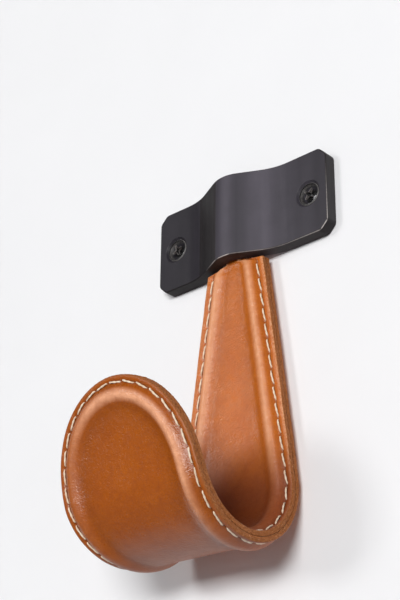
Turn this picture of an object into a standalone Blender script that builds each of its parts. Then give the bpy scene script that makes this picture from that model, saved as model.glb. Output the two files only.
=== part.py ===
"""Wall guitar hanger: a steel bracket, two wood screws, and a J hook of two sewn leather layers on a steel frame.

Z is up, the wall is the plane y = 0 and the hook stands out towards -Y. The origin is on the wall, midway
between the two screw holes. Lengths below are in millimetres and are turned into metres when a mesh is made.
"""
import bmesh
import bpy
import math
from mathutils import Vector
from mathutils.geometry import delaunay_2d_cdt

# ---- bracket: 1 1/4 x 3/16 inch flat bar cut 3 inches long, with a hump over the hook's tongue
BAR_L = 76.2
BAR_H = 31.75
BAR_T = 4.76
CORNER_CUT = 3.0
CORNER_SOFT = 1.0
BAR_EDGE_R = 0.45
HUMP_RISE = 7.42
HUMP_ANGLE = math.radians(26.5)
HUMP_R_FLANGE = 25.0
HUMP_R_CROWN = 9.2
HUMP_CROWN_HALF = 0.1
HUMP_X = -1.6
FLAT_FROM = 0.2

# ---- screw holes and screws (4.5 mm countersunk wood screws)
HOLE_SPACING = 60.3
BORE_R = 2.5
SINK_R = 5.0
HEAD_R = 4.2
HEAD_TOP_Y = -4.31
SHANK_R = 1.75
THREAD_R = 2.2
THREAD_PITCH = 2.0
SCREW_END_Y = 36.0
THREAD_FROM_Y = 12.0
RECESS_R = 2.3
RECESS_DEPTH = 2.0
RECESS_WIDTH = 1.0

# ---- hook: middle surface, bent about the X axis, with the slight sway, twist and dish of hand-formed leather
MID_Y = -3.63
HOOK_TOP_Z = -16.2
BEND_START_Z = -99.6
BEND_R = 21.6
BEND_ANGLE = math.radians(164)
PADDLE_L = 33.6
TIP_L = 39.2
TIP_CORE_L = 17.0
HALF_W_TOP = 12.35
HALF_W_GROWTH = 20.5
HALF_W_POWER = 1.24
STRAP_X = -1.8
SWAY = -0.103
SWAY_BACK = 0.00026
TWIST = 0.07
DISH = 0.94

# ---- leather layers, frame and thread
LEATHER_T = 1.75
SHOULDER_S = 0.9
TONGUE_S = 0.3
TONGUE_TOP_S = -28.3
TONGUE_HALF_W = 4.7
ROD_R = 1.6
ROD_INSET = 5.9
ROD_START_S = 1.8
TANG_T = 2.0
TANG_HALF_W = 2.4
TANG_FOOT_S = 12.0
TANG_FOOT_HALF_W = 7.0
TANG_SPREAD_S = (1.0, 4.0)
TANG_SPREAD_HALF_W = 5.6
THREAD_TUBE_R = 0.25
STITCH_INSET = 2.7
STITCH_INSET_PADDLE = 2.0
INSET_NARROWS_S = (50.0, 100.0)
STITCH_START_S = 2.2

STRAIGHT_L = HOOK_TOP_Z - BEND_START_Z
BEND_END_S = STRAIGHT_L + BEND_R * BEND_ANGLE
HOOK_L = BEND_END_S + PADDLE_L
TIP_START_S = HOOK_L - TIP_L
MM = 0.001

# distance in from the sewn edge, and half the space between the two layers there
RIDGE_ROWS = (
    (0.0, 0.125),
    (2.0, 0.125),
    (3.8, 0.125),
    (4.4, 1.0),
    (5.1, 1.65),
    (5.9, 1.8),
    (6.7, 1.65),
    (7.4, 1.0),
    (8.5, 0.5),
)
CENTRE_SPACE = 0.5
TANG_SPACE = 1.1
# distance out from the middle of the tongue, and half the space between the layers there
TONGUE_ROWS = (
    (TONGUE_HALF_W, 0.125),
    (4.55, 0.125),
    (4.2, 0.3),
    (3.8, 0.5),
    (3.4, 0.7),
    (3.0, 0.9),
    (2.6, TANG_SPACE),
    (2.0, TANG_SPACE),
    (1.0, TANG_SPACE),
)


def clear_scene():
    for obj in list(bpy.data.objects):
        bpy.data.objects.remove(obj)


def material(name, colour, metallic, roughness):
    mat = bpy.data.materials.new(name)
    mat.use_nodes = True
    shader = mat.node_tree.nodes["Principled BSDF"]
    shader.inputs["Base Color"].default_value = (*colour, 1.0)
    shader.inputs["Metallic"].default_value = metallic
    shader.inputs["Roughness"].default_value = roughness
    return mat


def finish(name, bm, mat, angle=35.0):
    """Turn a millimetre bmesh into a named object in metres with its own material."""
    bmesh.ops.recalc_face_normals(bm, faces=bm.faces)
    bmesh.ops.scale(bm, vec=(MM, MM, MM), verts=bm.verts)
    mesh = bpy.data.meshes.new(name)
    bm.to_mesh(mesh)
    bm.free()
    mesh.materials.append(mat)
    mesh.shade_smooth()
    mesh.set_sharp_from_angle(angle=math.radians(angle))
    obj = bpy.data.objects.new(name, mesh)
    bpy.context.scene.collection.objects.link(obj)
    return obj


def cutter(name, bm):
    """A boolean tool in metres, never rendered."""
    obj = finish(name, bm, material(name + "_mat", (0.5, 0.5, 0.5), 0.0, 0.5))
    obj.hide_render = True
    obj.display_type = "WIRE"
    return obj


def boolean(obj, tool, operation):
    mod = obj.modifiers.new(tool.name, "BOOLEAN")
    mod.operation = operation
    mod.solver = "EXACT"
    mod.object = tool


def loft(bm, rings, closed_ends=True):
    """Join rings of points (each a list of the same length) into a tube with flat ends."""
    loops = [[bm.verts.new(p) for p in ring] for ring in rings]
    count = len(loops[0])
    for a, b in zip(loops, loops[1:]):
        for i in range(count):
            j = (i + 1) % count
            bm.faces.new((a[i], a[j], b[j], b[i]))
    if closed_ends:
        bm.faces.new(loops[0])
        bm.faces.new(list(reversed(loops[-1])))


# ---------------------------------------------------------------- bracket


def hump_segments():
    """Half of the bar's middle line from the hump's centre outwards: (length, curvature) pieces."""
    rise_in_bends = (HUMP_R_FLANGE + HUMP_R_CROWN) * (1 - math.cos(HUMP_ANGLE))
    slope_l = (HUMP_RISE - rise_in_bends) / math.sin(HUMP_ANGLE)
    return (
        (HUMP_CROWN_HALF, 0.0),
        (HUMP_R_CROWN * HUMP_ANGLE, 1.0 / HUMP_R_CROWN),
        (slope_l, 0.0),
        (HUMP_R_FLANGE * HUMP_ANGLE, -1.0 / HUMP_R_FLANGE),
    )


def middle_line(u):
    """Distance out from the hump's centre, fall from its crown and slope angle at developed length u."""
    along, fall, angle = 0.0, 0.0, 0.0
    left = abs(u)
    for length, curvature in hump_segments():
        step = min(left, length)
        if curvature:
            turned = angle + curvature * step
            along += (math.sin(turned) - math.sin(angle)) / curvature
            fall += (math.cos(angle) - math.cos(turned)) / curvature
            angle = turned
        else:
            along += step * math.cos(angle)
            fall += step * math.sin(angle)
        left -= step
        if left <= 0:
            return along, fall, angle
    return along + left, fall, angle


def bar_point(u, z, n):
    """A point of the bar at developed length u, height z and depth n in front of its back face."""
    along, fall, angle = middle_line(u)
    side = 1.0 if u >= 0 else -1.0
    out = n - BAR_T / 2
    x = HUMP_X + side * (along + out * math.sin(angle))
    y = -(BAR_T / 2 + HUMP_RISE - fall + out * math.cos(angle))
    return (x, y, z)


def developed(x):
    """The developed length at which the flat flange reaches x."""
    total = sum(length for length, _ in hump_segments())
    along = middle_line(total)[0]
    distance = abs(x - HUMP_X)
    return math.copysign(total + distance - along, x)


def bend_stations():
    """Developed lengths at which the bar's faces are split so that the bends come out round."""
    stations = [0.0]
    at = 0.0
    for length, curvature in hump_segments():
        steps = 6 if curvature else 1
        for i in range(1, steps + 1):
            stations.append(at + length * i / steps)
        at += length
    stations.append(at + FLAT_FROM)
    return sorted({round(side * s, 6) for s in stations for side in (-1, 1)})


def corner_points(inset):
    """A corner cut off at 45 degrees and softened at both ends, as (back from the end, in from the side)."""
    cut = CORNER_CUT - inset * math.tan(math.radians(22.5))
    reach = CORNER_SOFT
    points = []
    for near, far in (((0.0, cut), (0.0, 1.0)), ((cut, 0.0), (1.0, 0.0))):
        slope = math.sqrt(0.5)
        toward = (slope, -slope) if near[0] == 0.0 else (-slope, slope)
        a = (near[0] + far[0] * reach, near[1] + far[1] * reach)
        c = (near[0] + toward[0] * reach, near[1] + toward[1] * reach)
        curve = []
        for i in range(4):
            t = i / 3
            curve.append(tuple(
                (1 - t) ** 2 * a[k] + 2 * t * (1 - t) * near[k] + t * t * c[k] for k in (0, 1)
            ))
        points += curve if near[0] == 0.0 else list(reversed(curve))
    return [(p + inset, q + inset) for p, q in points]


def bar_outline(inset):
    """The bar's outline in (developed length, z), with points at every bend station on both long sides."""
    left, right = developed(-BAR_L / 2), developed(BAR_L / 2)
    top = BAR_H / 2
    corner = corner_points(inset)
    points = [(s, -top + inset) for s in bend_stations()]
    points += [(right - back, -top + up) for back, up in reversed(corner)]
    points += [(right - back, top - up) for back, up in corner]
    points += [(s, top - inset) for s in reversed(bend_stations())]
    points += [(left + back, top - up) for back, up in reversed(corner)]
    points += [(left + back, -top + up) for back, up in corner]
    return points


def circle(cu, cz, r, count=32):
    return [
        (cu + r * math.cos(2 * math.pi * i / count), cz + r * math.sin(2 * math.pi * i / count))
        for i in range(count)
    ]


def fill_face(bm, loops, outline_verts, hole_verts, n):
    """Triangulate the space between the outline and the holes, with an edge across at every bend station."""
    points = [p for loop in loops for p in loop]
    known = outline_verts + [v for ring in hole_verts for v in ring]
    edges = []
    first = 0
    for loop in loops:
        count = len(loop)
        edges += [(first + i, first + (i + 1) % count) for i in range(count)]
        first += count
    stations = bend_stations()
    total = len(loops[0])
    for i, s in enumerate(stations):
        j = next(k for k in range(total) if loops[0][k][1] > 0 and abs(loops[0][k][0] - s) < 1e-9)
        edges.append((i, j))
    result = delaunay_2d_cdt([Vector(p) for p in points], edges, [], 0, 1e-6)
    coords, faces, origins = result[0], result[2], result[3]
    verts = []
    for co, origin in zip(coords, origins):
        verts.append(known[origin[0]] if origin else bm.verts.new(bar_point(co[0], co[1], n)))
    centres = [(sum(p[0] for p in h) / len(h), sum(p[1] for p in h) / len(h)) for h in loops[1:]]
    radii = [math.dist(h[0], c) for h, c in zip(loops[1:], centres)]
    for face in faces:
        middle = [sum(coords[i][k] for i in face) / len(face) for k in (0, 1)]
        if any(math.dist(middle, c) < r * 0.995 for c, r in zip(centres, radii)):
            continue
        bm.faces.new([verts[i] for i in face])


def bridge(bm, a, b):
    count = len(a)
    for i in range(count):
        j = (i + 1) % count
        bm.faces.new((a[i], a[j], b[j], b[i]))


def make_bracket():
    bm = bmesh.new()
    edge_steps = 3
    layers = [(0.0, 0.0)]
    for i in range(edge_steps + 1):
        a = math.radians(90 * i / edge_steps)
        layers.append((BAR_EDGE_R * (1 - math.cos(a)), BAR_T - BAR_EDGE_R * (1 - math.sin(a))))
    rings = []
    for inset, n in layers:
        rings.append([bm.verts.new(bar_point(u, z, n)) for u, z in bar_outline(inset)])
    for a, b in zip(rings, rings[1:]):
        bridge(bm, a, b)
    back_holes, front_holes = [], []
    for side in (-1, 1):
        cu = developed(side * HOLE_SPACING / 2)
        levels = ((BORE_R, 0.0), (BORE_R, BAR_T - (SINK_R - BORE_R)), (SINK_R, BAR_T))
        loops = []
        for r, n in levels:
            loops.append([bm.verts.new(bar_point(u, z, n)) for u, z in circle(cu, 0.0, r)])
        for a, b in zip(loops, loops[1:]):
            bridge(bm, a, b)
        back_holes.append((circle(cu, 0.0, BORE_R), loops[0]))
        front_holes.append((circle(cu, 0.0, SINK_R), loops[-1]))
    for ring, inset, n, holes in (
        (rings[0], 0.0, 0.0, back_holes),
        (rings[-1], BAR_EDGE_R, BAR_T, front_holes),
    ):
        flat = [bar_outline(inset)] + [h[0] for h in holes]
        fill_face(bm, flat, ring, [h[1] for h in holes], n)
    return finish("mounting_bracket", bm, material("blackened_steel", (0.03, 0.03, 0.034), 0.9, 0.42), 20)


# ---------------------------------------------------------------- screws


def make_screw(name, x):
    bm = bmesh.new()
    count = 14
    cone_end = HEAD_TOP_Y + 0.2 + (HEAD_R - SHANK_R)
    profile = [(HEAD_TOP_Y, HEAD_R - 0.15), (HEAD_TOP_Y + 0.1, HEAD_R), (HEAD_TOP_Y + 0.2, HEAD_R)]
    profile += [(cone_end, SHANK_R), (THREAD_FROM_Y, SHANK_R)]
    rings = []
    for y, r in profile:
        rings.append([(r, y, i) for i in range(count)])
    per_turn = 4
    steps = int((SCREW_END_Y - THREAD_FROM_Y) / THREAD_PITCH * per_turn)
    for k in range(1, steps):
        y = THREAD_FROM_Y + THREAD_PITCH * k / per_turn
        point_in = min(1.0, (SCREW_END_Y - y) / 5.0)
        ring = []
        for i in range(count):
            phase = (k / per_turn - i / count) % 1.0
            crest = max(0.0, 1 - abs(phase - 0.5) * 4)
            r = SHANK_R * 0.85 + (THREAD_R - SHANK_R * 0.85) * crest * min(1.0, k / per_turn)
            ring.append((max(0.15, r * point_in), y, i))
        rings.append(ring)
    rings.append([(0.1, SCREW_END_Y, i) for i in range(count)])
    points = []
    for ring in rings:
        row = []
        for r, y, i in ring:
            a = 2 * math.pi * i / count
            row.append((x + r * math.cos(a), y, r * math.sin(a)))
        points.append(row)
    loft(bm, points)
    obj = finish(name, bm, material(name + "_steel", (0.02, 0.02, 0.022), 0.8, 0.45), 40)
    boolean(obj, recess_cutter(name + "_recess", x), "DIFFERENCE")
    return obj


def recess_cutter(name, x):
    """A tapered cross, as a cross-head driver leaves room for."""
    bm = bmesh.new()
    rings = []
    levels = ((HEAD_TOP_Y - 0.5, 1.0), (HEAD_TOP_Y, 1.0), (HEAD_TOP_Y + RECESS_DEPTH, 0.35))
    half = RECESS_WIDTH / 2
    for y, taper in levels:
        reach = RECESS_R * taper
        ring = []
        for k in range(4):
            a = math.pi / 2 * k + math.radians(20)
            axis = (math.cos(a), math.sin(a))
            across = (-axis[1], axis[0])
            for p, q in ((half, -half), (reach, -half * 0.7 * taper), (reach, half * 0.7 * taper)):
                px = axis[0] * p + across[0] * q
                pz = axis[1] * p + across[1] * q
                ring.append((x + px, y, pz))
        rings.append(ring)
    loft(bm, rings)
    return cutter(name, bm)


# ---------------------------------------------------------------- hook


def hook_point(x, s, n):
    """Sideways x and length s of the flat pattern, bent into the J; n is outwards, towards the wall at the top."""
    past = max(0.0, s - STRAIGHT_L)
    formed = min(1.0, past / (BEND_END_S - STRAIGHT_L))
    n += formed * (TWIST * x + DISH * (x / half_width(s)) ** 2)
    x += STRAP_X + SWAY * past + SWAY_BACK * past**2
    if s <= STRAIGHT_L:
        y, z, a = MID_Y, HOOK_TOP_Z - s, 0.0
    else:
        a = min((s - STRAIGHT_L) / BEND_R, BEND_ANGLE)
        y = MID_Y - BEND_R * (1 - math.cos(a))
        z = BEND_START_Z - BEND_R * math.sin(a)
        rest = max(0.0, s - BEND_END_S)
        y -= rest * math.sin(a)
        z -= rest * math.cos(a)
    return (x, y + n * math.cos(a), z - n * math.sin(a))


def half_width(s):
    q = min(1.0, max(0.0, s / HOOK_L))
    return HALF_W_TOP + HALF_W_GROWTH * (1 - (1 - q) ** HALF_W_POWER)


def edge_at(p):
    """The sewn edge's right half: p from 0 at the shoulder to 1 at the start of the tip, then to 2 at its end."""
    if p <= 1:
        s = SHOULDER_S + (TIP_START_S - SHOULDER_S) * p
        return half_width(s), s
    a = math.radians(90 * (p - 1))
    s = TIP_START_S + TIP_L * math.sin(a)
    return half_width(s) * math.cos(a), s


def edge_inset(p, d):
    """The point a distance d in from the edge, square to it, in the flat pattern."""
    h = 1e-4
    x0, s0 = edge_at(max(0.0, p - h))
    x1, s1 = edge_at(min(2.0, p + h))
    tx, ts = x1 - x0, s1 - s0
    length = math.hypot(tx, ts)
    x, s = edge_at(p)
    if p >= 2:
        return 0.0, s - d
    return x - d * ts / length, s + d * tx / length


def edge_stations(straight, bend, tip):
    """Values of p: few along the straight strap, more round the bend and the tip."""
    span = TIP_START_S - SHOULDER_S
    p_bend = (STRAIGHT_L - SHOULDER_S) / span
    values = [p_bend * i / straight for i in range(straight)]
    values += [p_bend + (1 - p_bend) * i / bend for i in range(bend)]
    values += [1 + i / tip for i in range(tip + 1)]
    return values


def centre_s(p, s):
    if p <= 1:
        return s
    return TIP_START_S + TIP_CORE_L * math.sin(math.radians(90 * (p - 1)))


def hook_columns():
    """Rows of (x, s, half space) from the edge to the middle, for each column of the right half, top to tip."""
    columns = []
    for s in (TONGUE_TOP_S, 0.5 * (TONGUE_TOP_S + TONGUE_S), TONGUE_S):
        rows = [(x, s, space) for x, space in TONGUE_ROWS]
        columns.append(rows + [(0.0, s, TANG_SPACE)])
    for p in edge_stations(13, 20, 9):
        s_edge = edge_at(p)[1]
        room = TANG_SPACE if s_edge < TANG_FOOT_S + 3 else CENTRE_SPACE
        rows = []
        for d, space in RIDGE_ROWS:
            x, s = edge_inset(p, d)
            rows.append((x, s, max(space, room) if d > ROD_INSET else space))
        columns.append(rows + [(0.0, centre_s(p, s_edge), room)])
    return columns


def make_leather(name, side, mat):
    """One layer: side 1 is the outer layer, side -1 the inner one that faces the hook's throat."""
    bm = bmesh.new()
    columns = hook_columns()
    grids = []
    for extra in (0.0, LEATHER_T):
        right, left = [], []
        for rows in columns:
            r, f = [], []
            for x, s, space in rows:
                n = side * (space + extra)
                vert = bm.verts.new(hook_point(x, s, n))
                r.append(vert)
                f.append(vert if x < 1e-6 else bm.verts.new(hook_point(-x, s, n)))
            right.append(r)
            left.append(f)
        grids.append((right, left))
    last = len(columns) - 1
    depth = len(columns[0])
    for right, left in grids:
        for half in (right, left):
            for j in range(last):
                for i in range(depth - 1):
                    ring = (half[j][i], half[j][i + 1], half[j + 1][i + 1], half[j + 1][i])
                    bm.faces.new(ring)
    for half in (0, 1):
        low, high = grids[0][half], grids[1][half]
        for j in range(last):
            bm.faces.new((low[j][0], low[j + 1][0], high[j + 1][0], high[j][0]))
        for i in range(depth - 1):
            bm.faces.new((low[0][i], low[0][i + 1], high[0][i + 1], high[0][i]))
    return finish(name, bm, mat, 40)


def tube_along(bm, path, offsets, radius, count):
    """A round tube along points of the flat pattern, each with its offset from the middle surface."""
    centres = [Vector(hook_point(x, s, n)) for (x, s), n in zip(path, offsets)]
    rings = []
    for i, centre in enumerate(centres):
        ahead = centres[min(i + 1, len(centres) - 1)]
        behind = centres[max(i - 1, 0)]
        tangent = (ahead - behind).normalized()
        x, s = path[i]
        up = Vector(hook_point(x, s, 1.0)) - Vector(hook_point(x, s, 0.0))
        across = tangent.cross(up).normalized()
        up = across.cross(tangent).normalized()
        ring = []
        for k in range(count):
            a = 2 * math.pi * k / count
            ring.append(centre + radius * (math.cos(a) * across + math.sin(a) * up))
        rings.append(ring)
    loft(bm, rings)


def inset_path(depth, start_s, stations):
    """Down the left side, round the tip and up the right side, the distance depth(p) in from the edge."""
    right = [edge_inset(p, depth(p)) for p in stations if p < 2]
    right = [point for point in right if point[1] > start_s]
    x0, s0 = right[0]
    x1, s1 = right[1]
    x_start = x0 + (x1 - x0) * (start_s - s0) / (s1 - s0)
    right = [(x_start, start_s)] + right
    tip = edge_inset(2.0, depth(2.0))
    return [(-x, s) for x, s in right] + [tip] + list(reversed(right))


def make_frame():
    """A bent rod loop with its two ends welded to a flat tang that goes up behind the hump."""
    bm = bmesh.new()
    path = inset_path(lambda p: ROD_INSET, ROD_START_S, edge_stations(8, 20, 10))
    tube_along(bm, path, [0.0] * len(path), ROD_R, 10)
    obj = finish("hook_frame", bm, material("frame_steel", (0.35, 0.35, 0.36), 1.0, 0.45), 40)
    plate = bmesh.new()
    right = (
        (TANG_HALF_W, TONGUE_TOP_S + 1.0),
        (TANG_HALF_W, TANG_SPREAD_S[0]),
        (TANG_SPREAD_HALF_W, TANG_SPREAD_S[1]),
        (TANG_FOOT_HALF_W, TANG_FOOT_S),
    )
    outline = list(right) + [(-x, s) for x, s in reversed(right)]
    loft(plate, [[hook_point(x, s, n) for x, s in outline] for n in (-TANG_T / 2, TANG_T / 2)])
    boolean(obj, cutter("frame_tang", plate), "UNION")
    return obj


def stitch_inset(p):
    """How far in from the edge the seam lies: it runs nearer to the edge on the paddle."""
    start, end = INSET_NARROWS_S
    share = min(1.0, max(0.0, (edge_at(p)[1] - start) / (end - start)))
    return STITCH_INSET + (STITCH_INSET_PADDLE - STITCH_INSET) * share


def make_thread(name, side):
    """A continuous line of thread standing just clear of the leather, where the stitches lie."""
    bm = bmesh.new()
    path = inset_path(stitch_inset, STITCH_START_S, edge_stations(10, 24, 10))
    off = side * (RIDGE_ROWS[0][1] + LEATHER_T + 0.15 + THREAD_TUBE_R)
    tube_along(bm, path, [off] * len(path), THREAD_TUBE_R, 6)
    return finish(name, bm, material(name + "_waxed", (0.85, 0.78, 0.66), 0.0, 0.6), 60)


def build():
    clear_scene()
    make_bracket()
    make_screw("screw_left", -HOLE_SPACING / 2)
    make_screw("screw_right", HOLE_SPACING / 2)
    make_frame()
    make_leather("outer_leather", 1, material("tan_leather_outer", (0.42, 0.16, 0.05), 0.0, 0.45))
    make_leather("inner_leather", -1, material("tan_leather_inner", (0.45, 0.18, 0.06), 0.0, 0.42))
    make_thread("stitching_outer", 1)
    make_thread("stitching_inner", -1)


build()
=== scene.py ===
"""Looks of the wall guitar hanger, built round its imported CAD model.

Shapes are worked out in millimetres and become metres when a mesh is made. Z is up, the wall is the plane
y = 0 and the hook stands out towards -Y, as in the CAD model. The flat pattern of the hook has x across and s
down its length. Side 1 is the outer layer, on the wall side of the strap; side -1 is the inner layer.
"""

import math

import bmesh
import bpy
from mathutils import Matrix, Vector, noise
from mathutils.geometry import delaunay_2d_cdt


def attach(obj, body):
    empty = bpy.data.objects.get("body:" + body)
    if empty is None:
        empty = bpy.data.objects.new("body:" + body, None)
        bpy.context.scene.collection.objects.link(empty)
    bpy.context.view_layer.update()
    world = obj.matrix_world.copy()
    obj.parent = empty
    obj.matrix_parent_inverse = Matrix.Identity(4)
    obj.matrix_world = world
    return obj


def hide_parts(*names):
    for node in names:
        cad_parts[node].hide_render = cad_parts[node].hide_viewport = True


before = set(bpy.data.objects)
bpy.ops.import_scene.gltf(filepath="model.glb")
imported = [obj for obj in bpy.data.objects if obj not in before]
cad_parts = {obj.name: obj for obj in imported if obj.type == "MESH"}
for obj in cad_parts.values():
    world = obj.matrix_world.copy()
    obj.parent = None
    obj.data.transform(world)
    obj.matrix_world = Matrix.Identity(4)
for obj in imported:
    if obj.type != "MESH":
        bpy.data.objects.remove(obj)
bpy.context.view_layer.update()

MM = 0.001

# ---- bracket, as in the CAD model
BAR_L = 76.2
BAR_H = 31.75
BAR_T = 4.76
CORNER_CUT = 3.0
CORNER_SOFT = 1.0
BAR_EDGE_R = 0.4
BACK_EDGE_R = 0.25
HUMP_RISE = 7.42
HUMP_ANGLE = math.radians(26.5)
HUMP_R_FLANGE = 25.0
HUMP_R_CROWN = 9.2
HUMP_CROWN_HALF = 0.1
HUMP_X = -1.6
FLAT_FROM = 0.2
HOLE_SPACING = 60.3
BORE_R = 2.5
SINK_R = 5.0

# ---- screws
HEAD_R = 4.2
HEAD_TOP_Y = -4.31
SHANK_R = 1.75
THREAD_R = 2.2
THREAD_PITCH = 2.0
SCREW_END_Y = 36.0
THREAD_FROM_Y = 12.0
RECESS_R = 2.3
RECESS_DEPTH = 2.0
RECESS_WIDTH = 1.0

# ---- hook
MID_Y = -3.63
HOOK_TOP_Z = -16.2
BEND_START_Z = -99.6
BEND_R = 21.6
BEND_ANGLE = math.radians(164)
PADDLE_L = 33.6
TIP_L = 39.2
TIP_CORE_L = 17.0
HALF_W_TOP = 12.35
HALF_W_GROWTH = 20.5
HALF_W_POWER = 1.24
STRAP_X = -1.8
SWAY = -0.103
SWAY_BACK = 0.00026
TWIST = 0.07
DISH = 0.94
LEATHER_T = 1.75
SHOULDER_S = 0.9
TONGUE_TOP_S = -28.3
TONGUE_HALF_W = 4.7
STITCH_INSET = 2.7
STITCH_INSET_PADDLE = 2.0
INSET_NARROWS_S = (50.0, 100.0)
STITCH_START_S = 2.2
STITCH_PITCH = 5.9
STITCH_GAP = 0.95
STITCH_SLANT = 0.24
THREAD_TUBE_R = 0.27
STRAIGHT_L = HOOK_TOP_Z - BEND_START_Z
BEND_END_S = STRAIGHT_L + BEND_R * BEND_ANGLE
HOOK_L = BEND_END_S + PADDLE_L
TIP_START_S = HOOK_L - TIP_L
LAYER_GAP = 0.125


# ---- meshes


def lerp_table(table, x):
    """Straight lines between the table's (x, value) pairs."""
    if x <= table[0][0]:
        return table[0][1]
    for (x0, v0), (x1, v1) in zip(table, table[1:]):
        if x <= x1:
            return v0 + (v1 - v0) * (x - x0) / (x1 - x0)
    return table[-1][1]


def smooth_table(table, x):
    """A smooth curve through the table's (x, value) pairs."""
    if x <= table[0][0]:
        return table[0][1]
    if x >= table[-1][0]:
        return table[-1][1]
    i = max(k for k in range(len(table) - 1) if table[k][0] <= x)
    slopes = []
    for k in (i, i + 1):
        a, b = table[max(0, k - 1)], table[min(len(table) - 1, k + 1)]
        slopes.append((b[1] - a[1]) / (b[0] - a[0]))
    (x0, v0), (x1, v1) = table[i], table[i + 1]
    w = x1 - x0
    t = (x - x0) / w
    return (
        v0 * (1 + 2 * t) * (1 - t) ** 2
        + slopes[0] * w * t * (1 - t) ** 2
        + v1 * t * t * (3 - 2 * t)
        + slopes[1] * w * t * t * (t - 1)
    )


def blend_step(a, b, x):
    """A smooth step from 0 at a to 1 at b."""
    t = min(1.0, max(0.0, (x - a) / (b - a)))
    return t * t * (3 - 2 * t)


def rough(x, y, z, scale):
    """Smooth noise between about -1 and 1."""
    return noise.noise(Vector((x, y, z)) * scale)


def add_object(name, bm, mats, sharp_angle=None):
    """Turn a millimetre bmesh into a named object in metres."""
    bmesh.ops.recalc_face_normals(bm, faces=bm.faces)
    bmesh.ops.scale(bm, vec=(MM, MM, MM), verts=bm.verts)
    mesh = bpy.data.meshes.new(name)
    bm.to_mesh(mesh)
    bm.free()
    for mat in mats:
        mesh.materials.append(mat)
    mesh.shade_smooth()
    if sharp_angle:
        mesh.set_sharp_from_angle(angle=math.radians(sharp_angle))
    obj = bpy.data.objects.new(name, mesh)
    bpy.context.scene.collection.objects.link(obj)
    return obj


def stand_for(obj, slot, *nodes):
    """Let the piece stand in for these CAD nodes, on the one rigid body."""
    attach(obj, "root")
    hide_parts(*nodes)


def weight_normals(obj):
    """Keep flat faces flat next to their rounded edges."""
    modifier = obj.modifiers.new("weighted", "WEIGHTED_NORMAL")
    modifier.keep_sharp = True


def set_attribute(mesh, name, value_at):
    """Store a number at every vertex, worked out from its place in millimetres."""
    layer = mesh.attributes.new(name, "FLOAT", "POINT")
    layer.data.foreach_set("value", [value_at(v.co / MM) for v in mesh.vertices])


def bridge(bm, a, b):
    """Faces between two closed rings of as many vertices."""
    count = len(a)
    for i in range(count):
        j = (i + 1) % count
        bm.faces.new((a[i], a[j], b[j], b[i]))


# ---- node graphs


class Graph:
    """Short names for the nodes that the materials are made of."""

    def __init__(self, name):
        self.mat = bpy.data.materials.new(name)
        self.mat.use_nodes = True
        self.tree = self.mat.node_tree
        self.shader = self.tree.nodes["Principled BSDF"]
        self.coords = self.add("ShaderNodeTexCoord").outputs["Object"]

    def add(self, kind, **settings):
        node = self.tree.nodes.new(kind)
        for key, value in settings.items():
            setattr(node, key, value)
        return node

    def link(self, value, socket):
        if isinstance(value, bpy.types.NodeSocket):
            self.tree.links.new(value, socket)
        else:
            socket.default_value = value

    def scaled(self, scale, source=None):
        node = self.add("ShaderNodeMapping")
        self.link(source or self.coords, node.inputs["Vector"])
        node.inputs["Scale"].default_value = scale
        return node.outputs["Vector"]

    def noise(self, per_mm, detail, roughness, stretch=(1, 1, 1), source=None, distortion=0.0):
        node = self.add("ShaderNodeTexNoise")
        unit = 1 if source else 1 / MM
        self.link(self.scaled([per_mm * unit * k for k in stretch], source), node.inputs["Vector"])
        node.inputs["Scale"].default_value = 1.0
        node.inputs["Detail"].default_value = detail
        node.inputs["Roughness"].default_value = roughness
        node.inputs["Distortion"].default_value = distortion
        return node.outputs["Fac"]

    def cells(self, per_mm, feature, randomness=1.0):
        node = self.add("ShaderNodeTexVoronoi", feature=feature)
        self.link(self.scaled([per_mm / MM] * 3), node.inputs["Vector"])
        node.inputs["Scale"].default_value = 1.0
        node.inputs["Randomness"].default_value = randomness
        return node.outputs["Distance"]

    def attribute(self, name):
        return self.add("ShaderNodeAttribute", attribute_name=name).outputs["Fac"]

    def math(self, operation, a, b):
        node = self.add("ShaderNodeMath", operation=operation)
        self.link(a, node.inputs[0])
        self.link(b, node.inputs[1])
        return node.outputs[0]

    def times(self, a, b):
        return self.math("MULTIPLY", a, b)

    def ramp(self, value, stops):
        """A smooth ramp over (position, grey or colour) stops."""
        node = self.add("ShaderNodeValToRGB")
        self.link(value, node.inputs["Fac"])
        elements = node.color_ramp.elements
        while len(elements) < len(stops):
            elements.new(0.5)
        for element, (position, tone) in zip(elements, stops):
            element.position = position
            element.color = (tone, tone, tone, 1.0) if isinstance(tone, float) else (*tone, 1.0)
        return node.outputs["Color"]

    def map(self, value, low, high, to_low=0.0, to_high=1.0):
        node = self.add("ShaderNodeMapRange")
        self.link(value, node.inputs["Value"])
        for key, number in (("From Min", low), ("From Max", high), ("To Min", to_low), ("To Max", to_high)):
            node.inputs[key].default_value = number
        return node.outputs["Result"]

    def mix(self, factor, a, b, mode="MIX"):
        node = self.add("ShaderNodeMix", data_type="RGBA", blend_type=mode)
        self.link(factor, node.inputs["Factor"])
        for value, key in ((a, 6), (b, 7)):
            if isinstance(value, tuple) and len(value) == 3:
                value = (*value, 1.0)
            self.link(value, node.inputs[key])
        return node.outputs[2]

    def bump(self, height, depth_mm, strength, normal=None):
        node = self.add("ShaderNodeBump")
        self.link(height, node.inputs["Height"])
        node.inputs["Distance"].default_value = depth_mm * MM
        node.inputs["Strength"].default_value = strength
        if normal:
            self.link(normal, node.inputs["Normal"])
        return node.outputs["Normal"]

    def finish(self, **sockets):
        for key, value in sockets.items():
            self.link(value, self.shader.inputs[key.replace("_", " ")])
        return self.mat


# the leather's ramps run from 0 to 1 over this distance in from the edge
RAMP_MM = 20.0
# the colour multiplied in as painted shade inside the bend, behind the paddle and on the back
PAINTED_SHADE_TINT = (0.5, 0.4, 0.35)


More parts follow.
